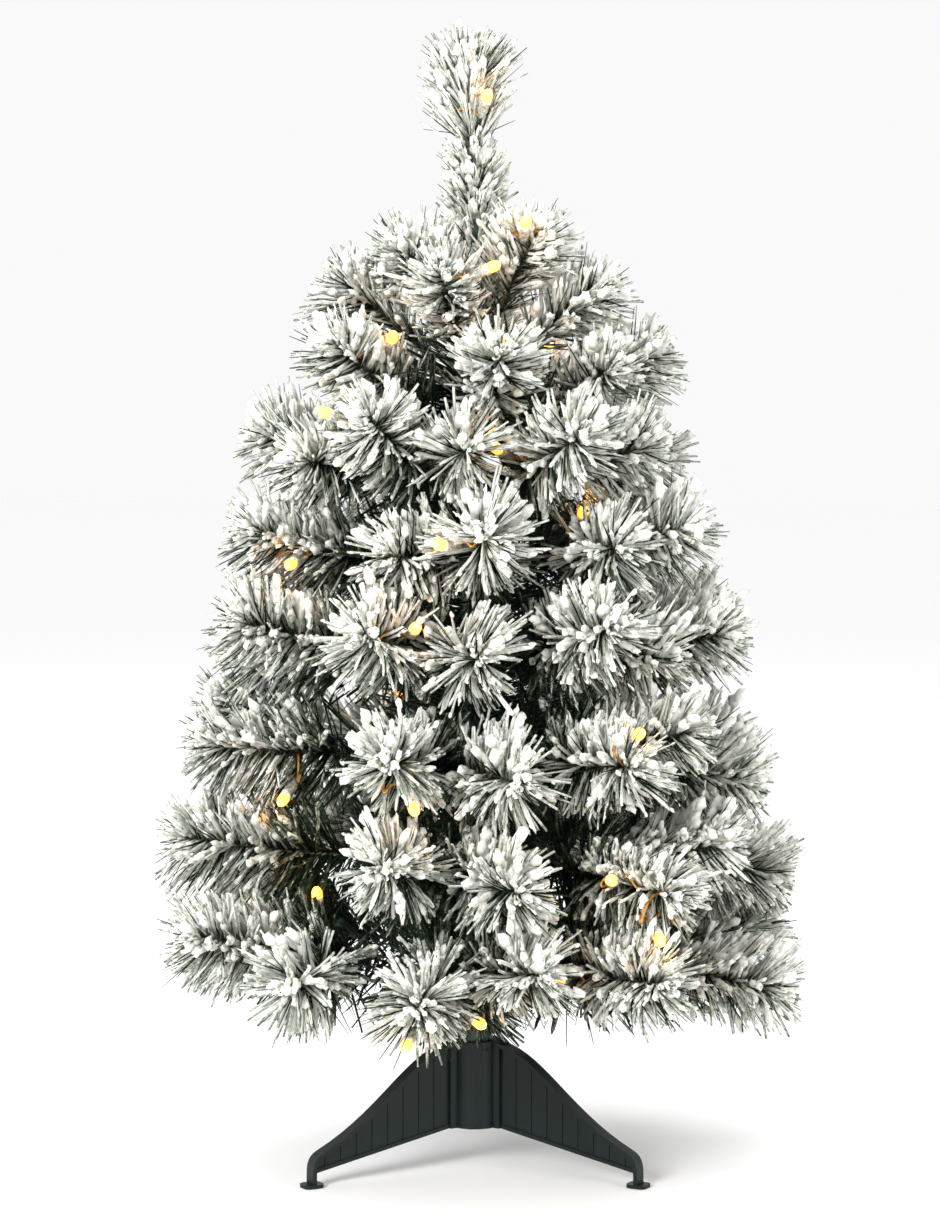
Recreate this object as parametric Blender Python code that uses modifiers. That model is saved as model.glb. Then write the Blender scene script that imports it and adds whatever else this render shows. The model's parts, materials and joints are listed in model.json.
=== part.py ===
"""Table-top artificial tree on a three-legged plastic stand.

Metres, +Z up, the middle of the stand on the surface at the origin.
Azimuths are in degrees: 0 is the front (-Y) and 90 is the right-hand side (+X).
"""
import math

import bmesh
import bpy
from mathutils import Matrix, Vector

GAP = 0.0003                # clearance between pieces that touch
OVERLAP = 0.0006            # how far one form of a moulding runs into the next

# pole and its wound covering
POLE_RADIUS = 0.0095
POLE_WALL = 0.0012
POLE_BORE = POLE_RADIUS - POLE_WALL
POLE_SHOULDER = 0.084       # where the tube narrows to the centre rod
POLE_TAPER = 0.0040
ROD_RADIUS = 0.0040
ROD_TOP = 0.5305
WRAP_BOTTOM = POLE_SHOULDER + POLE_TAPER + GAP
WRAP_TOP = ROD_TOP - 0.0065
WRAP_RADIUS = 0.0078
COLLAR_RADIUS = WRAP_RADIUS + 0.0029    # where a ring of branch wires is bound on
COLLAR_HALF = 0.0060

# stand: three alike legs, each with a third of the hub wall
LEG_AZIMUTHS = (60.0, 180.0, 300.0)
STAND_REACH = 0.0980        # outer face of a toe
HUB_BOTTOM = 0.022
HUB_TOP = 0.068
HUB_WALL = 0.0034
HUB_INNER = POLE_RADIUS + GAP
HUB_OUTER = HUB_INNER + HUB_WALL
HUB_LEDGE = POLE_BORE - 0.0013          # inner radius of the ledge the pole stands on
LEDGE_BOTTOM = HUB_BOTTOM + OVERLAP
LEDGE_THICKNESS = 0.0018
ARM_ROOT_BOTTOM = HUB_BOTTOM + 0.0004   # lower edge of the arm where it meets its post
WEB_ROOT = HUB_OUTER + 0.0013           # the web and its bead start inside the root post
POST_OUTER = WEB_ROOT + 0.0020          # the root post that holds the next leg's hook
POST_SIDE = 0.0032
WEB_THICKNESS = 0.0020
FLANGE_WIDTH = 0.0076
FLANGE_THICKNESS = 0.0022
FLANGE_END = 0.0008                     # lower end of the flange, inside the foot pad
BEAD_WIDTH = 0.0036
BEAD_THICKNESS = 0.0020
TOE_TOP = (STAND_REACH - 0.0056, 0.0176)
ARM_TOP = ((WEB_ROOT, HUB_TOP - 0.0004), (STAND_REACH * 0.41, HUB_TOP - 0.0050),
           (STAND_REACH * 0.56, HUB_TOP * 0.51), TOE_TOP)
TOE_TURN = (TOE_TOP, (STAND_REACH - 0.0015, 0.0155), (STAND_REACH, 0.0125),
            (STAND_REACH, 0.0065))
WEB_TOE = (STAND_REACH - 0.0018, 0.0070)    # lower outer corner of the web
PANEL_PITCH = 0.0092        # spacing of the grooves down the web
GROOVE_WIDTH = 0.0008
GROOVE_DEPTH = 0.0004
FOOT_LENGTH = 0.0110
FOOT_WIDTH = 0.0100
FOOT_THICKNESS = 0.0018
FOOT_CORNER = 0.0030
HOOK_NECK = 0.0011
HOOK_HEAD = 0.0019
HOOK_NECK_LENGTH = 0.0012
HOOK_HEAD_LENGTH = 0.0010
HOOK_SETBACK = 0.0004       # the hook sits this far outside the middle of the hub wall
WALL_SHORT = 0.0001         # the hub wall stops this far inside the ends of the posts

# branches: each turns on a hinge at its bound end
STEM_RADIUS = 0.0018
HINGE_END = 0.0017          # rounded stem end inside the hinge point
HINGE_RADIUS = COLLAR_RADIUS + HINGE_END + GAP * 2
CLUB_TIP = 0.45             # tip radius as a share of the brush body's radius
STEM_SHARE = 0.16           # share of the length that is bare stem
SWELL_SHARE = 0.40          # where the brush body reaches its full radius
FORK_SHARE = 0.42           # where a side tip leaves the stem
SIDE_REACH = 0.93           # reach of a side tip as a share of the main tip's
RING_SIDES = 8
PATH_STEPS = 9
# one row per ring: root height, slope at the root, slope at the tip, reach of the tip,
# radius of the brush body, then each branch: azimuth, side-tip offset, and how far the
# main tip and the side tip are bent above the ring's own line
RINGS = (
    (0.113, 1.0, 3.0, 0.164, 0.0112, (
        (-58, 21, 0.018, -0.002), (-10, 22, -0.006, 0.008), (33, 0, 0.002, 0.0),
        (69, 23, -0.014, 0.010), (121, 23, 0.012, -0.006), (175, 23, -0.008, 0.008),
        (231, 24, 0.010, -0.010))),
    (0.165, 0.0, 3.0, 0.156, 0.0112, (
        (-73, -23, 0.012, -0.008), (-17, 25, 0.010, -0.004), (38, 23, -0.008, 0.012),
        (87, 23, -0.012, 0.006), (146, 23, 0.010, -0.008), (204, 24, -0.006, 0.012))),
    (0.215, 1.0, 5.0, 0.144, 0.0108, (
        (-70, -22, 0.006, 0.024), (-17, 26, 0.006, -0.004), (32, 22, 0.002, 0.016),
        (75, 23, -0.014, 0.006), (132, 24, -0.004, 0.014), (190, 25, 0.014, -0.002))),
    (0.270, 4.0, 6.0, 0.132, 0.0102, (
        (-64, -24, 0.012, -0.012), (-24, 25, 0.008, -0.004), (30, 21, 0.014, -0.006),
        (77, 22, 0.002, 0.018), (152, -22, -0.008, 0.012), (206, 26, 0.010, -0.006))),
    (0.313, 9.0, 11.0, 0.120, 0.0098, (
        (-72, -25, 0.008, -0.008), (2, -24, 0.006, -0.006), (64, -24, 0.010, -0.002),
        (130, 28, -0.006, 0.008), (200, 30, 0.008, -0.006))),
    (0.352, 16.0, 18.0, 0.109, 0.0092, (
        (-86, 28, 0.008, -0.008), (-28, 26, 0.014, -0.002), (28, 32, 0.006, -0.002),
        (112, 26, -0.006, 0.008), (188, 30, 0.010, -0.004))),
    (0.385, 25.0, 28.0, 0.091, 0.0085, (
        (-50, 0, 0.010, 0.0), (8, 0, 0.004, 0.0), (84, -28, 0.008, -0.004),
        (152, 0, -0.004, 0.0), (222, 0, 0.008, 0.0))),
    (0.413, 40.0, 40.0, 0.070, 0.0078, (
        (-70, 0, 0.006, 0.0), (-14, 0, 0.008, 0.0), (62, 0, 0.002, 0.0),
        (176, 0, 0.004, 0.0))),
    (0.437, 58.0, 50.0, 0.048, 0.0072, (
        (-50, 0, 0.0, 0.0), (40, 0, 0.008, 0.0))),
)

# leader: the upright brush at the very top
LEADER_HINGE = ROD_TOP + HINGE_END + GAP * 2
LEADER_LENGTH = 0.0572
LEADER_CLUB = 0.0120

# lamps: ring and branch (counted from 0, ring -1 is the leader), share along the stem,
# roll about the stem from straight up, and lean away from the stem
LAMP_SOCKET_RADIUS = 0.0027
LAMP_SOCKET_LENGTH = 0.0125
LAMP_LENS_RADIUS = 0.0032
LAMP_LENS_LENGTH = 0.0060
LAMP_SIDES = 16
LAMPS = (
    (-1, 0, 0.32, 15.0, 52.0),
    (8, 1, 0.90, 120.0, 35.0),
    (6, 0, 0.75, 300.0, 55.0),
    (2, 0, 0.65, 210.0, 55.0),
    (3, 1, 0.80, 285.0, 35.0),
    (2, 2, 0.95, 0.0, 20.0),
    (2, 1, 0.90, 210.0, 55.0),
    (0, 0, 0.55, 0.0, 75.0),
)


def outward(azimuth):
    """Unit vector away from the trunk at an azimuth."""
    angle = math.radians(azimuth)
    return Vector((math.sin(angle), -math.cos(angle), 0.0))


def blend(low, high, share):
    return low + (high - low) * share


def smooth_share(share):
    share = min(max(share, 0.0), 1.0)
    return share * share * (3.0 - 2.0 * share)


def brush_radius(share, club):
    """Radius of a brush body along its stem: bare stem, swelling, then a blunt tip."""
    swell = smooth_share((share - STEM_SHARE) / (SWELL_SHARE - STEM_SHARE))
    radius = blend(STEM_RADIUS, club, swell)
    blunt = max(0.0, (share - 0.86) / 0.14)
    return radius * (1.0 - (1.0 - CLUB_TIP) * blunt * blunt)


def stem_path(ring, branch):
    """Points and radii of a branch's main stem, from its hinge to its tip."""
    root, slope_in, slope_out, reach, club, _ = ring
    azimuth, _, lift, _ = branch
    away = outward(azimuth)
    run = reach - HINGE_RADIUS
    points = [away * (HINGE_RADIUS - HINGE_END) + Vector((0.0, 0.0, root))]
    radii = [STEM_RADIUS * 0.35]
    height = root
    for step in range(PATH_STEPS + 1):
        share = step / PATH_STEPS
        bent = Vector((0.0, 0.0, height + lift * share ** 1.5))
        points.append(away * (HINGE_RADIUS + run * share) + bent)
        radii.append(brush_radius(share, club))
        slope = blend(slope_in, slope_out, share + 0.5 / PATH_STEPS)
        height += math.tan(math.radians(slope)) * run / PATH_STEPS
    return points, radii


def side_path(ring, branch):
    """Points and radii of the side tip that is twisted on to a main stem."""
    azimuth, offset, lift, side_lift = branch
    points, _ = stem_path(ring, branch)
    club = ring[4]
    fork = points[1 + round(FORK_SHARE * PATH_STEPS)]
    tip = outward(azimuth + offset) * (ring[3] * SIDE_REACH)
    tip.z = points[-1].z - lift + side_lift
    middle = fork.lerp(tip, 0.45) + outward(azimuth + offset + math.copysign(90, offset)) * 0.006
    path = []
    radii = []
    steps = PATH_STEPS - 4
    for step in range(steps + 1):
        share = step / steps
        first = fork.lerp(middle, share)
        path.append(first.lerp(middle.lerp(tip, share), share))
        swell = smooth_share(share / 0.4)
        blunt = max(0.0, (share - 0.8) / 0.2)
        radii.append(blend(0.004, club * 0.92, swell) * (1.0 - (1.0 - CLUB_TIP) * blunt * blunt))
    return path, radii


def leader_path():
    """Points and radii of the upright top brush."""
    run = LEADER_LENGTH
    points = [Vector((0.0, 0.0, LEADER_HINGE - HINGE_END))]
    radii = [STEM_RADIUS * 0.35]
    for step in range(PATH_STEPS + 1):
        share = step / PATH_STEPS
        points.append(Vector((0.0, 0.0, LEADER_HINGE + run * share)))
        radii.append(brush_radius(share, LEADER_CLUB))
    return points, radii


# --- building

def clear_scene():
    for item in list(bpy.data.objects):
        bpy.data.objects.remove(item, do_unlink=True)
    for group in list(bpy.data.collections):
        bpy.data.collections.remove(group)


clear_scene()
tree_group = bpy.data.collections.new("tabletop_tree")
cutter_group = bpy.data.collections.new("cutters")
bpy.context.scene.collection.children.link(tree_group)
bpy.context.scene.collection.children.link(cutter_group)


def material(name, colour, roughness, metallic=0.0):
    made = bpy.data.materials.new(name)
    made.use_nodes = True
    shader = made.node_tree.nodes["Principled BSDF"]
    shader.inputs["Base Color"].default_value = (*colour, 1.0)
    shader.inputs["Roughness"].default_value = roughness
    shader.inputs["Metallic"].default_value = metallic
    return made


STAND_PLASTIC = material("stand_plastic", (0.014, 0.024, 0.022), 0.42)
POLE_PAINT = material("pole_paint", (0.016, 0.045, 0.026), 0.45, 0.2)
WRAP_FILM = material("wrap_film", (0.030, 0.060, 0.030), 0.60)
FLOCKED_BRUSH = material("flocked_brush", (0.62, 0.65, 0.62), 0.90)
LAMP_GLASS = material("lamp_plastic", (0.90, 0.66, 0.22), 0.25)


def link(item, group, paint=None, smooth=True):
    group.objects.link(item)
    if paint is not None:
        item.data.materials.clear()
        item.data.materials.append(paint)
    if group is cutter_group:
        item.hide_render = True
        item.display_type = "WIRE"
    if smooth and item.type == "MESH":
        for face in item.data.polygons:
            face.use_smooth = True
    return item


def to_mesh(item):
    """Turn an object with its modifiers into a plain welded mesh object."""
    bpy.context.view_layer.update()
    graph = bpy.context.evaluated_depsgraph_get()
    solid = item.evaluated_get(graph)
    mesh = bpy.data.meshes.new_from_object(solid, depsgraph=graph)
    mesh.transform(item.matrix_world)
    work = bmesh.new()
    work.from_mesh(mesh)
    bmesh.ops.remove_doubles(work, verts=work.verts, dist=1e-6)
    bmesh.ops.recalc_face_normals(work, faces=work.faces)
    work.to_mesh(mesh)
    work.free()
    made = bpy.data.objects.new(item.name + "_mesh", mesh)
    bpy.data.objects.remove(item, do_unlink=True)
    return made


def plate(name, outline, half, place=Matrix.Identity(4)):
    """Flat outline in its own XY plane, thickened by half on both sides."""
    curve = bpy.data.curves.new(name, "CURVE")
    curve.dimensions = "2D"
    curve.fill_mode = "BOTH"
    curve.extrude = half
    line = curve.splines.new("POLY")
    line.points.add(len(outline) - 1)
    for point, (across, up) in zip(line.points, outline):
        point.co = (across, up, 0.0, 1.0)
    line.use_cyclic_u = True
    item = bpy.data.objects.new(name, curve)
    item.matrix_world = place
    cutter_group.objects.link(item)
    made = to_mesh(item)
    cutter_group.objects.link(made)
    return made


def combine(body, tool, operation):
    """Join or cut one plain mesh object with another and drop the second."""
    change = body.modifiers.new(operation.lower(), "BOOLEAN")
    change.operation = operation
    change.solver = "EXACT"
    change.object = tool
    name = body.name
    made = to_mesh(body)
    made.name = name
    cutter_group.objects.link(made)
    bpy.data.objects.remove(tool, do_unlink=True)
    return made


def finish(item, name, paint, origin=Vector((0.0, 0.0, 0.0)), smooth=True):
    """Put a finished mesh into the tree with its origin at a given point."""
    for group in list(item.users_collection):
        group.objects.unlink(item)
    item.name = name
    item.data.name = name
    item.data.transform(Matrix.Translation(-origin))
    item.location = origin
    return link(item, tree_group, paint, smooth)


def tube(name, points, radii):
    """Round tube along points, closed at both ends, with its own radius at each point."""
    curve = bpy.data.curves.new(name, "CURVE")
    curve.dimensions = "3D"
    curve.bevel_depth = 1.0
    curve.bevel_resolution = (RING_SIDES - 4) // 2
    curve.use_fill_caps = True
    line = curve.splines.new("POLY")
    line.points.add(len(points) - 1)
    for point, place, radius in zip(line.points, points, radii):
        point.co = (*place, 1.0)
        point.radius = radius
    item = bpy.data.objects.new(name, curve)
    cutter_group.objects.link(item)
    made = to_mesh(item)
    cutter_group.objects.link(made)
    return made


def turned(name, profile, sides, closed):
    """Profile of (radius, height) points turned round the upright axis."""
    mesh = bpy.data.meshes.new(name)
    work = bmesh.new()
    corners = [work.verts.new((radius, 0.0, height)) for radius, height in profile]
    for first, second in zip(corners, corners[1:]):
        work.edges.new((first, second))
    if closed:
        work.edges.new((corners[-1], corners[0]))
    work.to_mesh(mesh)
    work.free()
    item = bpy.data.objects.new(name, mesh)
    screw = item.modifiers.new("turn", "SCREW")
    screw.steps = sides
    screw.render_steps = sides
    screw.use_merge_vertices = True
    screw.merge_threshold = 0.00001
    screw.use_normal_calculate = True
    cutter_group.objects.link(item)
    made = to_mesh(item)
    cutter_group.objects.link(made)
    return made


# --- stand

def bezier(corners, steps):
    """Points along a four-point curve."""
    made = []
    for step in range(steps + 1):
        share = step / steps
        rest = 1.0 - share
        weights = (rest ** 3, 3 * rest * rest * share, 3 * rest * share * share, share ** 3)
        made.append(tuple(sum(weight * corner[axis] for weight, corner in zip(weights, corners))
                          for axis in (0, 1)))
    return made


def offset_line(line, distance):
    """Line moved sideways, to the right of its own direction."""
    made = []
    for index, (across, up) in enumerate(line):
        before = line[max(index - 1, 0)]
        after = line[min(index + 1, len(line) - 1)]
        run = Vector((after[0] - before[0], after[1] - before[1])).normalized()
        made.append((across + run.y * distance, up - run.x * distance))
    return made


def arc(radius, start, end, steps):
    """Points on a circle from one angle to another, in degrees from the leg's own axis."""
    made = []
    for step in range(steps + 1):
        angle = math.radians(blend(start, end, step / steps))
        made.append((radius * math.cos(angle), radius * math.sin(angle)))
    return made


UPRIGHT = Matrix.Rotation(math.radians(90.0), 4, "X")
HUB_MIDDLE = (HUB_BOTTOM + HUB_TOP) / 2
HUB_HALF = (HUB_TOP - HUB_BOTTOM) / 2
HOOK_LINE = (HUB_INNER + HUB_OUTER) / 2 + HOOK_SETBACK


def from_next_leg(points):
    """Plan points given in the next leg's frame, turned into this leg's."""
    turn = math.radians(120.0)
    return [(x * math.cos(turn) - y * math.sin(turn), x * math.sin(turn) + y * math.cos(turn))
            for x, y in points]


def hook_outline(margin):
    """Plan of the hook, in the frame of the leg that holds it; margin makes it the slot."""
    face = -POST_SIDE - GAP
    neck = HOOK_NECK / 2 + margin
    head = HOOK_HEAD / 2 + margin
    turn = -POST_SIDE + HOOK_NECK_LENGTH - margin
    end = -POST_SIDE + HOOK_NECK_LENGTH + HOOK_HEAD_LENGTH + margin
    back = face - margin
    return [(HOOK_LINE + neck, back), (HOOK_LINE + neck, turn), (HOOK_LINE + head, turn),
            (HOOK_LINE + head, end), (HOOK_LINE - head, end), (HOOK_LINE - head, turn),
            (HOOK_LINE - neck, turn), (HOOK_LINE - neck, back)]


def stand_leg():
    """One leg along +X with its third of the hub."""
    crest = bezier(ARM_TOP, 14) + bezier(TOE_TURN, 6)[1:] + [(STAND_REACH, FLANGE_END)]
    under = offset_line(crest, FLANGE_THICKNESS)
    under[-1] = (under[-1][0], crest[-1][1])
    half_way = offset_line(crest, FLANGE_THICKNESS / 2)
    web_edge = [point for point in half_way if point[1] > WEB_TOE[1]]
    body = plate("leg", [(WEB_ROOT, ARM_ROOT_BOTTOM), (WEB_ROOT, web_edge[0][1])] + web_edge
                 + [WEB_TOE], WEB_THICKNESS / 2, UPRIGHT)
    groove = POST_OUTER + PANEL_PITCH
    while groove < WEB_TOE[0] - PANEL_PITCH * 0.4:
        for side in (-1.0, 1.0):
            cutter = bmesh.new()
            bmesh.ops.create_cube(cutter, size=1.0)
            bmesh.ops.scale(cutter, vec=(GROOVE_WIDTH, GROOVE_DEPTH * 2, 0.2), verts=cutter.verts)
            bmesh.ops.translate(cutter, vec=(groove, side * WEB_THICKNESS / 2, 0.05),
                                verts=cutter.verts)
            mesh = bpy.data.meshes.new("groove")
            cutter.to_mesh(mesh)
            cutter.free()
            body = combine(body, link(bpy.data.objects.new("groove", mesh), cutter_group),
                           "DIFFERENCE")
        groove += PANEL_PITCH
    flange = plate("flange", crest + under[::-1], FLANGE_WIDTH / 2, UPRIGHT)
    body = combine(body, flange, "UNION")
    bead_line = [(WEB_ROOT, ARM_ROOT_BOTTOM), WEB_TOE]
    bead = plate("bead", offset_line(bead_line, 0.0) + offset_line(bead_line, -BEAD_THICKNESS)[::-1],
                 BEAD_WIDTH / 2, UPRIGHT)
    body = combine(body, bead, "UNION")
    # hub: the root post with the next hook's slot, then the wall out to its own hook
    inner_side = math.degrees(math.asin(POST_SIDE / HUB_INNER))
    post = ([(POST_OUTER, -POST_SIDE), (POST_OUTER, POST_SIDE)]
            + arc(HUB_INNER, inner_side, -inner_side, 4))
    upright_hub = Matrix.Translation((0.0, 0.0, HUB_MIDDLE))
    post = plate("post", post, HUB_HALF, upright_hub)
    slot = plate("slot", hook_outline(GAP), HUB_HALF + 0.01, upright_hub)
    post = combine(post, slot, "DIFFERENCE")
    body = combine(body, post, "UNION")
    end_outer = 120.0 - math.degrees(math.asin((POST_SIDE + GAP) / HUB_OUTER))
    end_inner = 120.0 - math.degrees(math.asin((POST_SIDE + GAP) / HUB_INNER))
    start_outer = math.degrees(math.asin((POST_SIDE - OVERLAP) / HUB_OUTER))
    start_inner = math.degrees(math.asin((POST_SIDE - OVERLAP) / HUB_INNER))
    wall = (arc(HUB_OUTER, start_outer, end_outer, 16) + from_next_leg(hook_outline(0.0))
            + arc(HUB_INNER, end_inner, start_inner, 14))
    body = combine(body, plate("wall", wall, HUB_HALF - WALL_SHORT, upright_hub), "UNION")
    ledge = (arc(HUB_INNER + OVERLAP, start_inner - 4.0, end_inner - 3.0, 14)
             + arc(HUB_LEDGE, end_inner - 3.0, start_inner - 4.0, 14))
    ledge_place = Matrix.Translation((0.0, 0.0, LEDGE_BOTTOM + LEDGE_THICKNESS / 2))
    body = combine(body, plate("ledge", ledge, LEDGE_THICKNESS / 2, ledge_place), "UNION")
    # foot pad under the toe
    foot = []
    centre = STAND_REACH - FLANGE_THICKNESS / 2
    for turn, (x, y) in enumerate(((1, 1), (-1, 1), (-1, -1), (1, -1))):
        middle = (centre + x * (FOOT_LENGTH / 2 - FOOT_CORNER), y * (FOOT_WIDTH / 2 - FOOT_CORNER))
        foot += [(middle[0] + a, middle[1] + b)
                 for a, b in arc(FOOT_CORNER, 90.0 * turn, 90.0 * turn + 90.0, 4)]
    pad = plate("foot", foot, FOOT_THICKNESS / 2,
                Matrix.Translation((0.0, 0.0, FOOT_THICKNESS / 2)))
    return combine(body, pad, "UNION")


leg = stand_leg()
for index, azimuth in enumerate(LEG_AZIMUTHS):
    copy = bpy.data.objects.new("leg_copy", leg.data.copy())
    copy.data.transform(Matrix.Rotation(math.radians(azimuth - 90.0), 4, "Z"))
    finish(copy, f"stand_leg_{index + 1}", STAND_PLASTIC, smooth=False)
bpy.data.objects.remove(leg, do_unlink=True)

# --- pole and trunk covering

pole_foot = LEDGE_BOTTOM + LEDGE_THICKNESS + GAP
pole = turned("pole", [(0.0, ROD_TOP), (ROD_RADIUS, ROD_TOP),
                       (ROD_RADIUS, POLE_SHOULDER + POLE_TAPER),
                       (POLE_RADIUS, POLE_SHOULDER), (POLE_RADIUS, pole_foot),
                       (POLE_BORE, pole_foot), (POLE_BORE, POLE_SHOULDER - 0.002),
                       (0.0, POLE_SHOULDER - 0.001)], 32, False)
finish(pole, "pole", POLE_PAINT)

covering = [(ROD_RADIUS + GAP, WRAP_TOP), (WRAP_RADIUS * 0.8, WRAP_TOP)]
for ring in reversed(RINGS):
    root = ring[0]
    covering += [(WRAP_RADIUS, root + COLLAR_HALF), (COLLAR_RADIUS, root + COLLAR_HALF / 2),
                 (COLLAR_RADIUS, root - COLLAR_HALF / 2), (WRAP_RADIUS, root - COLLAR_HALF)]
covering += [(WRAP_RADIUS, WRAP_BOTTOM), (ROD_RADIUS + GAP, WRAP_BOTTOM)]
finish(turned("trunk_wrap", covering, 20, True), "trunk_wrap", WRAP_FILM)

# --- branches and leader

for ring_index, ring in enumerate(RINGS):
    for branch_index, branch in enumerate(ring[5]):
        name = f"branch_{ring_index + 1}_{branch_index + 1}"
        body = tube(name, *stem_path(ring, branch))
        if branch[1]:
            body = combine(body, tube(name + "_side", *side_path(ring, branch)), "UNION")
        hinge = outward(branch[0]) * HINGE_RADIUS + Vector((0.0, 0.0, ring[0]))
        finish(body, name, FLOCKED_BRUSH, hinge)

finish(tube("leader", *leader_path()), "leader", FLOCKED_BRUSH, Vector((0.0, 0.0, LEADER_HINGE)))

# --- lamps

def lamp_frame(ring_index, branch_index, share, roll, lean):
    """Place of a lamp beside its stem, leaning outwards from it."""
    if ring_index < 0:
        points, radii = leader_path()
    else:
        ring = RINGS[ring_index]
        points, radii = stem_path(ring, ring[5][branch_index])
    spot = 1 + share * PATH_STEPS
    first = int(spot)
    place = points[first].lerp(points[first + 1], spot - first)
    radius = blend(radii[first], radii[first + 1], spot - first)
    along = (points[first + 1] - points[first]).normalized()
    side = along.cross(Vector((0.0, 0.0, 1.0)))
    if side.length < 0.1:
        side = Vector((1.0, 0.0, 0.0))
    side.normalize()
    upward = side.cross(along)
    angle = math.radians(roll)
    away = upward * math.cos(angle) + side * math.sin(angle)
    tilt = math.radians(lean)
    axis = along * math.cos(tilt) + away * math.sin(tilt)
    base = place + away * (radius + GAP * 2 + LAMP_SOCKET_RADIUS)
    return Matrix.Translation(base) @ axis.to_track_quat("Z", "Y").to_matrix().to_4x4()


lamp_profile = [(0.0, LAMP_SOCKET_LENGTH + LAMP_LENS_LENGTH),
                (LAMP_LENS_RADIUS * 0.6, LAMP_SOCKET_LENGTH + LAMP_LENS_LENGTH * 0.92),
                (LAMP_LENS_RADIUS, LAMP_SOCKET_LENGTH + LAMP_LENS_LENGTH * 0.62),
                (LAMP_LENS_RADIUS, LAMP_SOCKET_LENGTH),
                (LAMP_SOCKET_RADIUS, LAMP_SOCKET_LENGTH),
                (LAMP_SOCKET_RADIUS * 0.8, 0.0),
                (0.0, 0.0)]
for lamp_index, spec in enumerate(LAMPS):
    lamp = turned("lamp", lamp_profile, LAMP_SIDES, False)
    lamp.data.transform(lamp_frame(*spec))
    finish(lamp, f"lamp_{lamp_index + 1}", LAMP_GLASS)
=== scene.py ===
import json
import math

import bmesh
import bpy
import numpy as np
from mathutils import Matrix, Vector


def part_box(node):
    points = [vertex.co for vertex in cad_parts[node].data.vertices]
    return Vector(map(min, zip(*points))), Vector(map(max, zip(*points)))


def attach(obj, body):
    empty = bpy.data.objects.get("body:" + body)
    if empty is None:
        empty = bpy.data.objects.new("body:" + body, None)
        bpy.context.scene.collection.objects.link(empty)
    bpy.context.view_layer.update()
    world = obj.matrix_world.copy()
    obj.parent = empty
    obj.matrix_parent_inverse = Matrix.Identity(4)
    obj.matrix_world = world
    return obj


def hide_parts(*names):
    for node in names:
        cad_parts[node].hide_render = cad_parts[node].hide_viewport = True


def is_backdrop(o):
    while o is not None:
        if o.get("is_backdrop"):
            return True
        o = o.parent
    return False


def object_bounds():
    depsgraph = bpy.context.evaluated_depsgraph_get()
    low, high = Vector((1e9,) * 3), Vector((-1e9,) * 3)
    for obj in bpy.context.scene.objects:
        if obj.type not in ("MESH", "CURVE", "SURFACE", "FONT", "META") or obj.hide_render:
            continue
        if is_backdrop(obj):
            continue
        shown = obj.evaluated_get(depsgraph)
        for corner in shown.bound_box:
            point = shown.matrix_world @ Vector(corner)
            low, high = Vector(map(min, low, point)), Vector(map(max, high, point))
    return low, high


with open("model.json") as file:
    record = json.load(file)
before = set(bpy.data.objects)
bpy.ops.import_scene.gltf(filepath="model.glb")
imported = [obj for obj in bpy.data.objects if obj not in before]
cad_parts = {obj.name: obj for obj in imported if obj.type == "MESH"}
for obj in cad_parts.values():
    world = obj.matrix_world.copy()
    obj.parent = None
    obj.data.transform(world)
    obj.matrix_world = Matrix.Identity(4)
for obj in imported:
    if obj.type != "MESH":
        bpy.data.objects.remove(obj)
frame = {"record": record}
cad_low, cad_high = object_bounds()
scene = bpy.context.scene
record = frame["record"]
joint_of = {joint["child"]: joint for joint in record["behaviour"]["joints"]}
body_of_node = {node: body
                for body, nodes in record["behaviour"]["bodies"].items() for node in nodes}

# --- camera, light and floor

CAMERA_DISTANCE = 1.60
CAMERA_HEIGHT = 0.37
AIM = Vector((-0.0026, 0.0, 0.2960))
VIEW_HEIGHT = 0.637795      # height of the view at the trunk
SENSOR_SIZE = 36.0

camera_data = bpy.data.cameras.new("camera")
camera = bpy.data.objects.new("camera", camera_data)
scene.collection.objects.link(camera)
camera.location = (AIM.x, -CAMERA_DISTANCE, CAMERA_HEIGHT)
camera.rotation_euler = (AIM - camera.location).to_track_quat("-Z", "Y").to_euler()
camera_data.sensor_width = SENSOR_SIZE
camera_data.lens = SENSOR_SIZE * CAMERA_DISTANCE / VIEW_HEIGHT
camera_data.clip_end = 100.0
scene.camera = camera

scene.view_settings.view_transform = "Standard"
scene.view_settings.exposure = 0.0


def area_light(name, place, target, size, power, colour=(1.0, 1.0, 1.0)):
    data = bpy.data.lights.new(name, "AREA")
    data.shape = "SQUARE"
    data.size = size
    data.energy = power
    data.color = colour
    lamp = bpy.data.objects.new(name, data)
    scene.collection.objects.link(lamp)
    lamp.location = place
    lamp.rotation_euler = (Vector(target) - Vector(place)).to_track_quat("-Z", "Y").to_euler()
    return lamp


area_light("key", (-1.2, -1.9, 1.1), (0.0, 0.0, 0.25), 0.8, 62.0)
area_light("fill", (1.6, -1.3, 0.5), (0.0, 0.0, 0.25), 1.0, 14.0)
area_light("top", (0.1, 0.3, 2.1), (0.0, 0.0, 0.3), 0.9, 11.0)

world = bpy.data.worlds.new("studio")
world.use_nodes = True
scene.world = world
background = world.node_tree.nodes["Background"]
background.inputs["Color"].default_value = (1.0, 1.0, 1.0, 1.0)
background.inputs["Strength"].default_value = 0.95


# --- materials

def new_material(name):
    made = bpy.data.materials.new(name)
    made.use_nodes = True
    nodes = made.node_tree.nodes
    return made, nodes, made.node_tree.links, nodes["Principled BSDF"]


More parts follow.
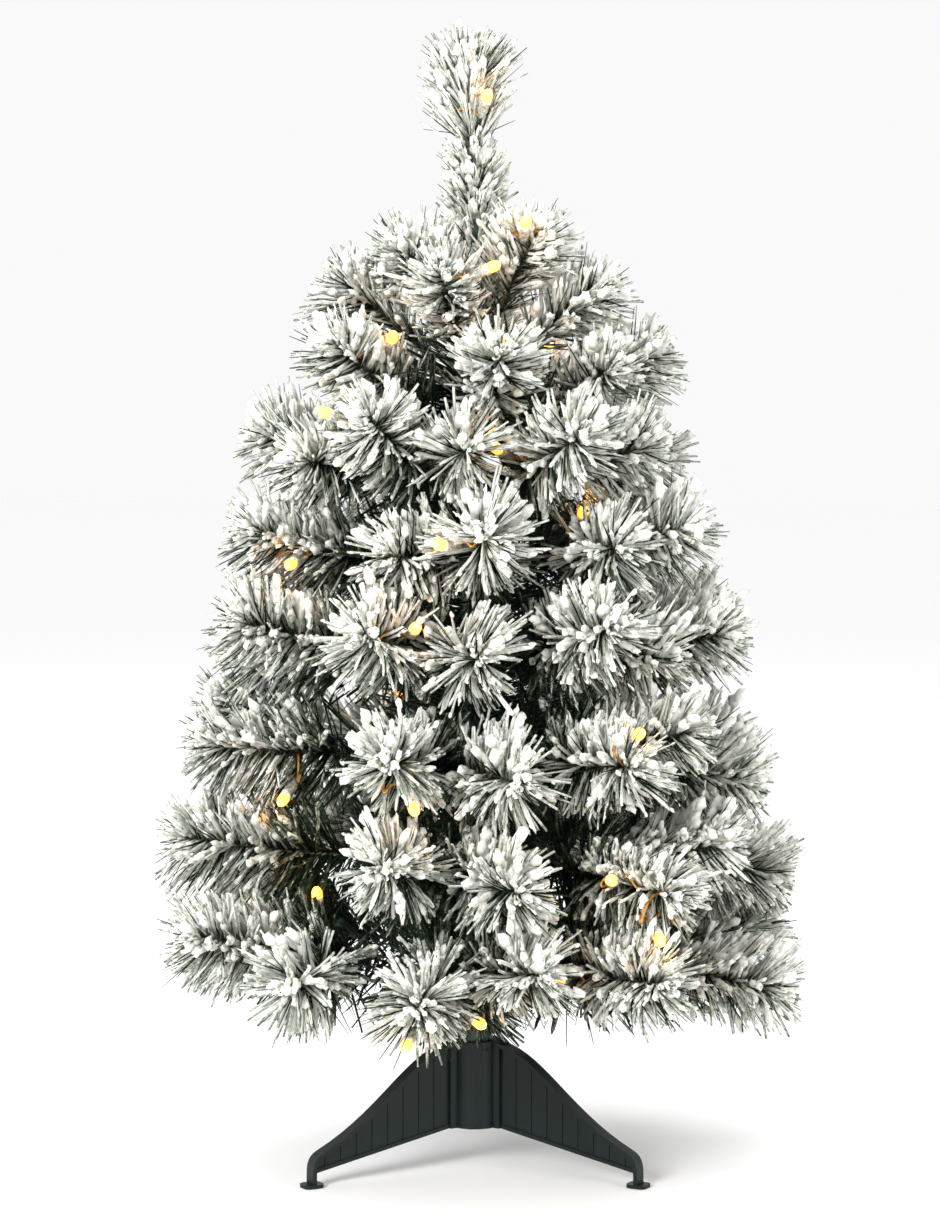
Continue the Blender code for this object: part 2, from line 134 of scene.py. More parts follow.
def noise(nodes, links, scale, detail=2.0, stretch=None):
    """Noise on the piece's own coordinates, in cycles per metre."""
    place = nodes.new("ShaderNodeTexCoord")
    made = nodes.new("ShaderNodeTexNoise")
    made.inputs["Scale"].default_value = scale
    made.inputs["Detail"].default_value = detail
    if stretch is None:
        links.new(place.outputs["Object"], made.inputs["Vector"])
    else:
        mapping = nodes.new("ShaderNodeMapping")
        mapping.inputs["Scale"].default_value = stretch
        links.new(place.outputs["Object"], mapping.inputs["Vector"])
        links.new(mapping.outputs["Vector"], made.inputs["Vector"])
    return made.outputs["Fac"]


def ramp(nodes, links, source, stops):
    made = nodes.new("ShaderNodeValToRGB")
    while len(made.color_ramp.elements) < len(stops):
        made.color_ramp.elements.new(0.5)
    for element, (position, colour) in zip(made.color_ramp.elements, stops):
        element.position = position
        element.color = (*colour, 1.0)
    links.new(source, made.inputs["Fac"])
    return made.outputs["Color"]


def bump(nodes, links, source, strength, distance, shader):
    made = nodes.new("ShaderNodeBump")
    made.inputs["Strength"].default_value = strength
    made.inputs["Distance"].default_value = distance
    links.new(source, made.inputs["Height"])
    links.new(made.outputs["Normal"], shader.inputs["Normal"])


def grey(value):
    return (value, value, value)


def attribute(nodes, name):
    made = nodes.new("ShaderNodeAttribute")
    made.attribute_name = name
    return made.outputs["Fac"]


def math_node(nodes, links, operation, first, second):
    made = nodes.new("ShaderNodeMath")
    made.operation = operation
    for socket, value in zip(made.inputs, (first, second)):
        if isinstance(value, (int, float)):
            socket.default_value = value
        else:
            links.new(value, socket)
    return made.outputs["Value"]


STREAKS_ALONG = 3.5
STREAKS_ACROSS = 5.0
STREAK_SHIFT = 90.0         # spreads the turn values over streaks that look unrelated


def flocked_film():
    """Green film needles with white fibre flock; a point attribute gives the flock coat, lower
    deeper in the brush partly as painted shade.
    """
    made, nodes, links, shader = new_material("flocked_needles")
    # flock coat with painted shade: lower deeper in the brush
    flock_and_shade = attribute(nodes, "flock_and_shade")
    clumps = noise(nodes, links, 420.0, 3.0)
    grains = noise(nodes, links, 1900.0, 2.0)
    # streaks run along each needle or tongue, shifted by the turn value of its own
    layout = nodes.new("ShaderNodeUVMap")
    layout.uv_map = "UVMap"
    parts = nodes.new("ShaderNodeSeparateXYZ")
    links.new(layout.outputs["UV"], parts.inputs["Vector"])
    spread = nodes.new("ShaderNodeCombineXYZ")
    links.new(math_node(nodes, links, "MULTIPLY", parts.outputs["X"], STREAKS_ALONG),
              spread.inputs["X"])
    links.new(math_node(nodes, links, "MULTIPLY", parts.outputs["Y"], STREAKS_ACROSS),
              spread.inputs["Y"])
    links.new(math_node(nodes, links, "MULTIPLY", attribute(nodes, "turn"), STREAK_SHIFT),
              spread.inputs["Z"])
    streak_noise = nodes.new("ShaderNodeTexNoise")
    streak_noise.inputs["Scale"].default_value = 1.0
    streak_noise.inputs["Detail"].default_value = 2.0
    links.new(spread.outputs["Vector"], streak_noise.inputs["Vector"])
    streaks = streak_noise.outputs["Fac"]
    amount = flock_and_shade
    for source, weight in ((clumps, 0.50), (grains, 0.50), (streaks, 1.35)):
        shifted = math_node(nodes, links, "MULTIPLY_ADD", source, weight)
        shifted.node.inputs[2].default_value = -weight / 2
        amount = math_node(nodes, links, "ADD", amount, shifted)
    colour = ramp(nodes, links, amount, (
        (0.14, (0.005, 0.015, 0.006)),
        (0.32, (0.022, 0.044, 0.021)),
        (0.46, (0.170, 0.203, 0.145)),
        (0.60, (0.510, 0.535, 0.465)),
        (0.84, (0.860, 0.865, 0.805))))
    links.new(colour, shader.inputs["Base Color"])
    rough = ramp(nodes, links, amount, ((0.15, grey(0.42)), (0.5, grey(0.88)), (1.0, grey(0.97))))
    links.new(rough, shader.inputs["Roughness"])
    shader.inputs["Specular IOR Level"].default_value = 0.15
    relief = math_node(nodes, links, "ADD", grains, streaks)
    bump(nodes, links, relief, 0.9, 0.0008, shader)
    return made


def moulded_green():
    """Satin black-green moulded plastic of the stand."""
    made, nodes, links, shader = new_material("stand_moulding")
    flow = noise(nodes, links, 60.0, 4.0)
    grain = noise(nodes, links, 1500.0, 2.0)
    colour = ramp(nodes, links, flow, (
        (0.3, (0.0022, 0.0068, 0.0060)),
        (0.7, (0.0042, 0.0100, 0.0090))))
    links.new(colour, shader.inputs["Base Color"])
    rough = ramp(nodes, links, flow, ((0.3, grey(0.38)), (0.7, grey(0.50))))
    links.new(rough, shader.inputs["Roughness"])
    shader.inputs["Specular IOR Level"].default_value = 0.22
    bump(nodes, links, grain, 0.12, 0.0002, shader)
    return made


def painted_pole():
    """Dark green enamel of the pole, slightly uneven along it."""
    made, nodes, links, shader = new_material("pole_enamel")
    wear = noise(nodes, links, 90.0, 4.0, (1.0, 1.0, 0.15))
    colour = ramp(nodes, links, wear, (
        (0.35, (0.012, 0.034, 0.020)),
        (0.75, (0.022, 0.055, 0.034))))
    links.new(colour, shader.inputs["Base Color"])
    rough = ramp(nodes, links, wear, ((0.3, grey(0.34)), (0.8, grey(0.5))))
    links.new(rough, shader.inputs["Roughness"])
    bump(nodes, links, wear, 0.05, 0.0003, shader)
    return made


def wound_film():
    """Cut green film wound round the trunk."""
    made, nodes, links, shader = new_material("wound_film")
    strands = noise(nodes, links, 700.0, 3.0, (1.0, 1.0, 0.35))
    colour = ramp(nodes, links, strands, (
        (0.3, (0.008, 0.020, 0.010)),
        (0.7, (0.030, 0.060, 0.032))))
    links.new(colour, shader.inputs["Base Color"])
    shader.inputs["Roughness"].default_value = 0.6
    bump(nodes, links, strands, 0.8, 0.0008, shader)
    return made


def lamp_lens():
    """Lit warm lens of a small lamp."""
    made, nodes, links, shader = new_material("lamp_lens")
    glow = noise(nodes, links, 260.0, 2.0)
    colour = ramp(nodes, links, glow, ((0.35, (1.0, 0.20, 0.018)), (0.65, (1.0, 0.29, 0.040))))
    links.new(colour, shader.inputs["Emission Color"])
    shader.inputs["Emission Strength"].default_value = 4.0
    shader.inputs["Base Color"].default_value = (0.90, 0.55, 0.15, 1.0)
    rough = ramp(nodes, links, glow, ((0.3, grey(0.12)), (0.7, grey(0.22))))
    links.new(rough, shader.inputs["Roughness"])
    bump(nodes, links, glow, 0.05, 0.0002, shader)
    return made


def lamp_socket():
    """Pale moulded socket with flock caught on it."""
    made, nodes, links, shader = new_material("lamp_socket")
    specks = noise(nodes, links, 900.0, 3.0)
    colour = ramp(nodes, links, specks, ((0.38, (0.30, 0.26, 0.14)), (0.58, (0.74, 0.75, 0.68))))
    links.new(colour, shader.inputs["Base Color"])
    rough = ramp(nodes, links, specks, ((0.3, grey(0.35)), (0.6, grey(0.9))))
    links.new(rough, shader.inputs["Roughness"])
    bump(nodes, links, specks, 0.6, 0.0003, shader)
    return made


def lamp_lead():
    """Thin lead in clear amber insulation."""
    made, nodes, links, shader = new_material("lamp_lead")
    stain = noise(nodes, links, 500.0, 2.0)
    colour = ramp(nodes, links, stain, ((0.35, (0.30, 0.13, 0.020)), (0.65, (0.58, 0.29, 0.070))))
    links.new(colour, shader.inputs["Base Color"])
    rough = ramp(nodes, links, stain, ((0.3, grey(0.22)), (0.7, grey(0.40))))
    links.new(rough, shader.inputs["Roughness"])
    bump(nodes, links, stain, 0.1, 0.0002, shader)
    return made


def core_wire():
    """Twisted wire stem, brown-green between the needles."""
    made, nodes, links, shader = new_material("core_wire")
    stain = noise(nodes, links, 300.0, 3.0)
    colour = ramp(nodes, links, stain, ((0.3, (0.045, 0.050, 0.022)), (0.7, (0.110, 0.085, 0.045))))
    links.new(colour, shader.inputs["Base Color"])
    rough = ramp(nodes, links, stain, ((0.3, grey(0.45)), (0.7, grey(0.7))))
    links.new(rough, shader.inputs["Roughness"])
    bump(nodes, links, stain, 0.3, 0.0003, shader)
    return made


FLOCKED = flocked_film()
STAND = moulded_green()
POLE = painted_pole()
FILM = wound_film()
WIRE = core_wire()
LENS = lamp_lens()
SOCKET = lamp_socket()
LEAD = lamp_lead()


def blend(first, last, share):
    return first + (last - first) * share


# --- brush parts: one needle and one flock tongue, each a box of a few faces

NEEDLE_CUTS = 1
TONGUE_CUTS = (4, 1)


def long_box(cuts_along, cuts_across):
    """Unit box along +X, cut along and across, with its length and width as UVs."""
    work = bmesh.new()
    bmesh.ops.create_cube(work, size=1.0)
    bmesh.ops.translate(work, vec=(0.5, 0.0, 0.0), verts=work.verts)
    along = [edge for edge in work.edges if abs((edge.verts[0].co - edge.verts[1].co).x) > 0.5]
    bmesh.ops.subdivide_edges(work, edges=along, cuts=cuts_along, use_grid_fill=True)
    if cuts_across:
        across = [edge for edge in work.edges
                  if abs((edge.verts[0].co - edge.verts[1].co).y) > 0.5]
        bmesh.ops.subdivide_edges(work, edges=across, cuts=cuts_across, use_grid_fill=True)
    layer = work.loops.layers.uv.new("UVMap")
    for face in work.faces:
        for loop in face.loops:
            loop[layer].uv = (loop.vert.co.x, loop.vert.co.y + 0.5)
    return work


def lump_ball():
    """Unit ball of a few faces for a lump of flock."""
    work = bmesh.new()
    bmesh.ops.create_icosphere(work, subdivisions=1, radius=1.0)
    layer = work.loops.layers.uv.new("UVMap")
    for face in work.faces:
        for loop in face.loops:
            loop[layer].uv = (loop.vert.co.x * 0.5 + 0.5, loop.vert.co.y * 0.5 + 0.5)
    return work


def template_of(work):
    points = np.array([vert.co[:] for vert in work.verts])
    work.free()
    return points


NEEDLE = template_of(long_box(NEEDLE_CUTS, 0))
TONGUE = template_of(long_box(*TONGUE_CUTS))
LUMP = template_of(lump_ball())
SEED = 20
rng = np.random.default_rng(SEED)


def repeated(work, count, mesh_name):
    """Mesh of a template repeated count times in a row of copies."""
    bmesh.ops.spin(work, geom=work.verts[:] + work.edges[:] + work.faces[:], cent=(0.0, 0.0, 0.0),
                   axis=(0.0, 0.0, 1.0), dvec=(0.0, 0.0, 0.1), angle=0.5, steps=count - 1,
                   use_duplicate=True)
    mesh = bpy.data.meshes.new(mesh_name)
    work.to_mesh(mesh)
    work.free()
    return mesh


def tongue_shapes(count, round_share):
    """Blunt-ended flock tongues of unit length, width and depth; round ones swell to the end."""
    x, y, z = (TONGUE[:, axis][None, :].repeat(count, 0) for axis in range(3))
    middle = np.abs(y) < 0.25
    short = 1.0 - rng.uniform(0.03, 0.20, (count, 2))
    x = x * np.where(middle, 1.0, np.where(y < 0.0, short[:, :1], short[:, 1:]))
    full = round_share[:, None]
    swell = 0.34 + 0.66 * np.clip(x / (0.45 + 0.30 * full), 0.0, 1.0) ** 0.9
    swell *= 1.0 - (0.35 - 0.15 * full) * np.clip((x - 0.80) / 0.20, 0.0, 1.0) ** 2
    rows = np.round(TONGUE[:, 0] * (TONGUE_CUTS[0] + 1)).astype(int)
    wander = rng.normal(0.0, 1.0, (count, TONGUE_CUTS[0] + 2, 3))[:, rows]
    y = y * swell * (1.0 + 0.26 * wander[..., 0]) + 0.14 * wander[..., 1] * x
    edge = np.where(middle, 1.0, 0.42)
    z = z * edge * (0.45 + 0.55 * swell) * (1.0 + 0.35 * wander[..., 2])
    return np.stack([x, y, z + 0.14 * wander[..., 0] * x], 2)


def unit(vectors):
    return vectors / np.linalg.norm(vectors, axis=-1, keepdims=True)


UP = np.array([0.0, 0.0, 1.0])


STEM_POINTS = 61
DIRECTION_STEP = 0.002      # half the distance over which a stem's direction is taken


class Stem:
    """Smooth line from a brush's bound end to its tip, by length."""

    def __init__(self, start, middle, tip):
        share = np.linspace(0.0, 1.0, STEM_POINTS)[:, None]
        # quadratic through the three points, the middle one at half way
        control = 2.0 * middle - 0.5 * (start + tip)
        self.points = ((1 - share) ** 2 * start + 2 * share * (1 - share) * control
                       + share ** 2 * tip)
        step = np.linalg.norm(np.diff(self.points, axis=0), axis=1)
        self.run = np.concatenate([[0.0], np.cumsum(step)])
        self.length = self.run[-1]

    def place(self, distance):
        return np.stack([np.interp(distance, self.run, self.points[:, k]) for k in range(3)], 1)

    def at(self, distance):
        """Place, direction, side and upward vectors at distances along the stem."""
        distance = np.asarray(distance)
        ahead = self.place(np.minimum(distance + DIRECTION_STEP, self.length))
        behind = self.place(np.maximum(distance - DIRECTION_STEP, 0.0))
        along = unit(ahead - behind)
        side = np.cross(along, UP)
        weak = np.linalg.norm(side, axis=1) < 0.15
        side[weak] = np.cross(along[weak], np.array([0.0, 1.0, 0.0]))
        side = unit(side)
        return self.place(distance), along, side, np.cross(side, along)


NEEDLE_LENGTH = 0.0320
FULL_SWEEP = 62.0           # angle between needle and stem away from the tip, degrees
TIP_SWEEP = 20.0
TIP_ZONE = 0.013            # length of stem over which the needles lean forward
TIP_REACH = 0.0105          # how far needles stand forward of the stem's end
NEEDLE_DEPTH = 0.0004
CLEAR_RADIUS = 0.0034       # needles keep this far from a lamp's lens
FLOCK_AND_SHADE_DEPTH = 0.092         # distance in from a tip that the flock reached; further in the coat fades, partly as less flock and partly as painted shade
FLOCK_AND_SHADE_FADE = 0.050
LUMPS_PER_TONGUE = 2
GOLDEN_ANGLE = math.radians(137.508)
SHORTEST_NEEDLE = 0.004
MOST_OUTSIDE = 0.0125       # how far a needle may end outside the box round the solids
SAG = 0.05                  # how much the needles lean downwards
LEANS_ON_TONGUE = 0.55      # share of the needles that lie along a tongue


def even_spots(start, end, count, power):
    """Distances from start to end, denser towards the end for a power below one."""
    steps = (np.arange(count) + rng.uniform(0.0, 1.0, count)) / count
    return start + (end - start) * steps ** power


def kept_inside(base, heading, length):
    """Shorten the needles that would end too far outside the solids' own box."""
    for axis in range(2):
        for limit, sign in ((cad_high[axis] + MOST_OUTSIDE, 1.0),
                            (cad_low[axis] - MOST_OUTSIDE, -1.0)):
            run = heading[:, axis] * sign
            room = (limit - base[:, axis]) * sign
            length = np.where(run * length > room, room / np.maximum(run, 1e-6), length)
    return length


def kept_clear(base, heading, length):
    """Shorten the needles that would cross a lamp's lens or its free side."""
    for lens, outwards in lens_places:
        for step in (0.0, 0.005, 0.010):
            spot = lens + outwards * step
            near = np.clip(((spot - base) * heading).sum(1), 0.0, length)
            gap = np.linalg.norm(base + heading * near[:, None] - spot, axis=1)
            hit = gap < CLEAR_RADIUS
            length = np.where(hit, np.maximum(near - CLEAR_RADIUS, SHORTEST_NEEDLE), length)
    return length


def brush_points(stem, start, counts, reach=1.0, white_from=0.35, tip_reach=TIP_REACH,
                 sweeps=(TIP_SWEEP, FULL_SWEEP), shade=None, chunky=0.30):
    """Place every needle, tongue and lump of one brush; gives points, flock coat values with
    painted shade deeper in, and turn values.
    """
    needles, tongues = counts
    total = needles + tongues
    is_tongue = np.arange(total) >= needles
    spot = np.empty(total)
    spot[needles:] = even_spots(blend(start, stem.length, white_from), stem.length, tongues, 0.75)
    spot[:needles] = even_spots(start, stem.length, needles, 0.85)
    angle = np.arange(total) * GOLDEN_ANGLE + rng.normal(0.0, 0.22, total)
    gather = rng.uniform(0.0, 2 * math.pi, 4)
    angle = angle + 0.30 * np.sin(3 * angle + gather[0]) + 0.12 * np.sin(7 * angle + gather[1])
    lean = rng.normal(0.0, 8.0, total)
    stretch = (rng.normal(1.0, 0.08, total) + 0.07 * np.sin(2 * angle + gather[2])
               + 0.06 * np.sin(5 * angle + gather[3]))
    # most needles lie along a tongue and come out at its end
    if tongues:
        owner = needles + rng.integers(0, tongues, needles)
        lies = np.flatnonzero(rng.uniform(0.0, 1.0, needles) < LEANS_ON_TONGUE)
        spot[lies] = np.clip(spot[owner[lies]] + rng.normal(0.0, 0.0012, len(lies)),
                             start, stem.length)
        angle[lies] = angle[owner[lies]] + rng.normal(0.0, 0.11, len(lies))
        lean[lies] = lean[owner[lies]] + rng.normal(0.0, 3.0, len(lies))
    base, along, side, upward = stem.at(spot)
    to_tip = stem.length - spot
    tip_share = np.clip(to_tip / TIP_ZONE, 0.0, 1.0)
    sweep = np.radians(blend(sweeps[0], sweeps[1], tip_share ** 0.65) + lean)
    away = upward * np.cos(angle)[:, None] + side * np.sin(angle)[:, None]
    heading = unit(along * np.cos(sweep)[:, None] + away * np.sin(sweep)[:, None])
    heading = unit(heading - UP * SAG)
    wide = unit(np.cross(along, away))
    twist = rng.normal(0.0, 0.40, total)
    thick = np.cross(heading, wide)
    wide, thick = (wide * np.cos(twist)[:, None] + thick * np.sin(twist)[:, None],
                   thick * np.cos(twist)[:, None] - wide * np.sin(twist)[:, None])
    length = NEEDLE_LENGTH * reach * (0.78 + 0.22 * tip_share) * stretch
    length = length * (1.0 + 0.25 * np.clip((to_tip - 0.050) / 0.030, 0.0, 1.0))
    length = length * np.where(is_tongue, 1.0, rng.uniform(0.86, 1.02, total))
    length = np.minimum(length, (tip_reach + to_tip) / np.maximum(np.cos(sweep), 0.15))
    length = kept_clear(base, heading, kept_inside(base, heading, length))
    top = heading[:, 2] * 0.5 + 0.5
    # shade is painted shade: the coat fades deeper in from the tip, partly as less flock and partly
    # to paint the dark inside of the tree
    if shade is None:
        shade = np.clip((FLOCK_AND_SHADE_DEPTH - to_tip) / FLOCK_AND_SHADE_FADE, 0.10, 1.0)
    else:
        shade = np.full(total, shade)
    bow = rng.normal(0.0018, 0.0015, total)
    sway = rng.normal(0.0, 0.0013, total)

    def laid(pick, shape, width, depth):
        x = shape[..., 0]
        curl = x ** 2 * np.minimum(length[pick] / 0.02, 1.0)[:, None]
        out = x * length[pick][:, None]
        over = shape[..., 1] * width + sway[pick][:, None] * curl
        up = shape[..., 2] * depth + bow[pick][:, None] * curl
        return (base[pick][:, None] + heading[pick][:, None] * out[..., None]
                + wide[pick][:, None] * over[..., None] + thick[pick][:, None] * up[..., None])

    points = []
    flock_and_shade_parts = []
    if needles:
        pick = ~is_tongue
        x = NEEDLE[:, 0][None, :]
        furred = rng.uniform(0.0, 1.0, needles) < 0.34 + 0.30 * top[pick]
        width = np.where(furred, rng.uniform(0.0009, 0.0015, needles),
                         rng.uniform(0.0006, 0.0009, needles))
        shape = NEEDLE[None, :].repeat(needles, 0)
        shape[..., 1] *= 1.0 - np.where(furred, 0.25, 0.60)[:, None] * x ** 3
        shape[..., 2] *= 1.0 - np.where(furred, 0.25, 0.60)[:, None] * x ** 3
        depth = np.where(furred, 0.0010, NEEDLE_DEPTH)
        points.append(laid(pick, shape, width[:, None], depth[:, None]))
        amount = np.where(furred, 0.50 + 0.22 * top[pick], 0.06 + 0.12 * top[pick])
        amount = amount[:, None] * (0.55 + 0.45 * np.clip(x * 2.2, 0.0, 1.0))
        flock_and_shade_parts.append(amount * shade[pick][:, None])
    if tongues:
        pick = is_tongue
        full = (rng.uniform(0.0, 1.0, tongues) < chunky * (0.6 + 0.8 * top[pick])).astype(float)
        width = blend(rng.uniform(0.0012, 0.0021, tongues),
                      rng.uniform(0.0026, 0.0042, tongues), full)
        depth = blend(rng.uniform(0.0009, 0.0014, tongues),
                      rng.uniform(0.0017, 0.0026, tongues), full)
        shape = tongue_shapes(tongues, full)
        shape[..., 0] *= blend(rng.uniform(0.84, 1.0, tongues), rng.uniform(0.74, 0.94, tongues),
                               full)[:, None]
        points.append(laid(pick, shape, width[:, None], depth[:, None]))
        amount = 0.80 + 0.16 * top[pick] + rng.normal(0.0, 0.08, tongues)
        tip_white = np.clip(shape[..., 0] * 2.6, 0.0, 1.0)
        flock_and_shade_parts.append(amount[:, None] * (0.48 + 0.52 * tip_white) * shade[pick][:, None])
        # lumps of flock caught on the tongues, mostly towards their ends
        for number in range(LUMPS_PER_TONGUE):
            spread = (0.90, 0.06) if number == 0 else (0.62, 0.15)
            share = np.clip(rng.normal(*spread, tongues), 0.3, 1.0)[:, None]
            size = width * rng.uniform(0.46, 0.80, tongues) * (0.75 + 0.5 * top[pick])
            ball = LUMP[None, :] * (1.0 + rng.normal(0.0, 0.22, (tongues, len(LUMP), 1)))
            reach_out = share * shape[..., 0].max(1, keepdims=True)
            shift = rng.normal(0.0, 0.30, (tongues, 1)) * width[:, None]
            shape_ball = np.stack([reach_out + ball[..., 0] * (1.7 * size / length[pick])[:, None],
                                   ball[..., 1] * size[:, None] + shift,
                                   ball[..., 2] * size[:, None] * 0.8], 2)
            points.append(laid(pick, shape_ball, 1.0, 1.0))
            flock_and_shade_parts.append(np.repeat(((amount + 0.08) * shade[pick])[:, None], len(LUMP), 1))
    turns = [np.repeat(rng.uniform(0.0, 1.0, len(flock_and_shade)), flock_and_shade.shape[1]) for flock_and_shade in flock_and_shade_parts]
    return (np.concatenate([p.reshape(-1, 3) for p in points]),
            np.concatenate([c.reshape(-1) for c in flock_and_shade_parts]), np.concatenate(turns))


brush_meshes = {}


def brush_mesh(counts):
    """Mesh of unplaced needles then tongues, made once for each pair of counts."""
    if counts not in brush_meshes:
        joined = bmesh.new()
        for work, count in ((long_box(NEEDLE_CUTS, 0), counts[0]),
                            (long_box(*TONGUE_CUTS), counts[1]),
                            (lump_ball(), counts[1] * LUMPS_PER_TONGUE)):
            if count:
                mesh = repeated(work, count, "copies")
                joined.from_mesh(mesh)
                bpy.data.meshes.remove(mesh)
        made = bpy.data.meshes.new("brush")
        joined.to_mesh(made)
        joined.free()
        made.polygons.foreach_set("use_smooth", np.ones(len(made.polygons), dtype=bool))
        brush_meshes[counts] = made
    return brush_meshes[counts].copy()


def placed(name, mesh, paint, body):
    """Object of a finished mesh that moves with a body."""
    mesh.name = name
    mesh.materials.clear()
    mesh.materials.append(paint)
    item = bpy.data.objects.new(name, mesh)
    scene.collection.objects.link(item)
    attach(item, body)
    return item


def brush(name, stem, start, counts, body, slot_name="flocked_brush", **settings):
    """One brush of needles and flock tongues round a stem."""
    mesh = brush_mesh(counts)
    points, flock_and_shade, turn = brush_points(stem, start, counts, **settings)
    mesh.vertices.foreach_set("co", points.astype(np.float32).ravel())
    for layer_name, values in (("flock_and_shade", flock_and_shade), ("turn", turn)):
        layer = mesh.attributes.new(layer_name, "FLOAT", "POINT")
        layer.data.foreach_set("value", values.astype(np.float32))
    mesh.update()
    return placed(name, mesh, FLOCKED, body)


def wire(name, lines, radius, paint, body):
    """Round wires along lines of points, closed at their ends."""
    curve = bpy.data.curves.new(name, "CURVE")
    curve.dimensions = "3D"
    curve.bevel_depth = radius
    curve.bevel_resolution = 0
    curve.use_fill_caps = True
    for points in lines:
        line = curve.splines.new("POLY")
        line.points.add(len(points) - 1)
        line.points.foreach_set("co", np.column_stack([points, np.ones(len(points))]).ravel())
    item = bpy.data.objects.new(name, curve)
    scene.collection.objects.link(item)
    graph = bpy.context.evaluated_depsgraph_get()
    mesh = bpy.data.meshes.new_from_object(item.evaluated_get(graph))
    bpy.data.objects.remove(item, do_unlink=True)
    return placed(name, mesh, paint, body)


WIRE_PITCH = 0.006          # length of stem for one full twist
STEPS_PER_TWIST = 5
WIRE_RADIUS = 0.0007
LEADER_WIRE_RADIUS = 0.0009


def core(name, stem, radius, body):
    """Twisted pair of wires along a stem."""
    count = int(stem.length / WIRE_PITCH * STEPS_PER_TWIST) + 2
    distance = np.linspace(0.0, stem.length - 0.001, count)
    place, _, side, upward = stem.at(distance)
    angle = distance / WIRE_PITCH * 2 * math.pi
    lines = [place + (side * np.cos(angle + phase)[:, None]
                      + upward * np.sin(angle + phase)[:, None]) * radius * 0.85
             for phase in (0.0, math.pi)]
    return wire(name, lines, radius, WIRE, body)


# --- stems of the branches, from the solids' own shapes

MAIN_HALF_WIDTH = 0.013     # a branch's main solid lies within this of its own line
SIDE_TIP_OFFSET = 0.022     # a solid that reaches further sideways has a side tip
FORK_SHARE = 0.42           # where a side tip leaves the main stem
SIDE_BULGE = 0.0025         # how far a side stem bows out


def stems_of(node):
    """Main stem and, where the branch has one, side stem."""
    mesh = bpy.data.objects[node].data
    verts = np.array([vert.co[:] for vert in mesh.vertices])
    hinge = np.array(joint_of[body_of_node[node]]["pos_m"])
    away = np.array([hinge[0], hinge[1], 0.0]) / np.hypot(hinge[0], hinge[1])
    side = np.cross(away, UP)
    local = verts - hinge
    along = local @ away
    across = local @ side
    main = np.abs(across) < MAIN_HALF_WIDTH
    reach = along[main].max()
    end = main & (along > reach - 0.002)
    tip = hinge + away * reach + UP * local[end, 2].mean()
    half = main & (np.abs(along - reach * 0.5) < reach * 0.09)
    middle = hinge + away * reach * 0.5 + UP * local[half, 2].mean()
    stems = [Stem(hinge, middle, tip)]
    if np.abs(across).max() > SIDE_TIP_OFFSET:
        sign = 1.0 if across.max() > -across.min() else -1.0
        far = np.linalg.norm(local - (away * (local @ away).max() * 0.4), axis=1)
        far[across * sign < 0.020] = 0.0
        tip_side = verts[far > far.max() - 0.0035].mean(0)
        fork = stems[0].points[int((STEM_POINTS - 1) * FORK_SHARE)]
        bulge = unit(np.cross(tip_side - fork, UP))
        stems.append(Stem(fork, 0.5 * (fork + tip_side) + sign * bulge * SIDE_BULGE, tip_side))
    return stems


branch_nodes = sorted(node for node in body_of_node if node.startswith("branch_"))
branch_stems = {node: stems_of(node) for node in branch_nodes}
low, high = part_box("leader")
leader_stem = Stem(np.array([0.0, 0.0, low[2]]), np.array([-0.003, 0.0, (low[2] + high[2]) / 2]),
                   np.array([-0.001, 0.0, high[2] - 0.005]))

# --- lamps: lens, socket and lead

SOCKET_LENGTH = 0.0125
LENS_MIDDLE = SOCKET_LENGTH + 0.003
GLOW_AHEAD = SOCKET_LENGTH + 0.0085     # the light stands just ahead of the lens
GLOW_POWER = 0.007
LEAD_RADIUS = 0.0007
BASE_BAND = 0.0002          # a lamp solid's corners this near its end belong to that end
LENS_PROFILE = ((0.0, 0.0062), (0.0012, 0.0060), (0.0022, 0.0051), (0.0028, 0.0034),
                (0.0029, 0.0008), (0.0026, 0.0002), (0.0, 0.0002))
SOCKET_PROFILE = ((0.0, 0.0126), (0.0024, 0.0126), (0.0031, 0.0120), (0.0031, 0.0102),
                  (0.0027, 0.0098), (0.0027, 0.0046), (0.0022, 0.0040), (0.0019, 0.0), (0.0, 0.0))
# lamps shown here only: branch, share along the stem, roll from straight up, lean from the
# stem, and distance of the base from the stem
SMALL_LAMPS = (
    ("branch_8_2", 0.90, 285.0, 75.0, 0.012), ("branch_6_3", 0.55, 75.0, 60.0, 0.014),
    ("branch_5_3", 0.50, 45.0, 55.0, 0.016), ("branch_5_1", 0.75, 240.0, 55.0, 0.014),
    ("branch_2_3", 0.82, 75.0, 55.0, 0.014), ("branch_1_3", 0.75, 285.0, 40.0, 0.014),
    ("branch_1_2", 0.72, 240.0, 70.0, 0.014), ("branch_7_2", 0.60, 345.0, 25.0, 0.014),
    ("branch_6_2", 0.95, 90.0, 35.0, 0.014), ("branch_5_2", 0.90, 105.0, 35.0, 0.014),
    ("branch_2_3", 0.95, 150.0, 35.0, 0.014), ("branch_1_3", 0.62, 90.0, 55.0, 0.014),
    ("branch_1_2", 0.90, 165.0, 20.0, 0.014),
    ("branch_7_4", 0.70, 20.0, 50.0, 0.014), ("branch_5_4", 0.75, 330.0, 50.0, 0.014),
    ("branch_4_5", 0.80, 30.0, 50.0, 0.014), ("branch_3_6", 0.70, 300.0, 55.0, 0.014),
    ("branch_2_5", 0.85, 15.0, 50.0, 0.014), ("branch_2_6", 0.60, 60.0, 55.0, 0.014),
    ("branch_1_5", 0.80, 340.0, 45.0, 0.014), ("branch_1_6", 0.85, 30.0, 50.0, 0.014),
    ("branch_1_7", 0.75, 300.0, 50.0, 0.014))


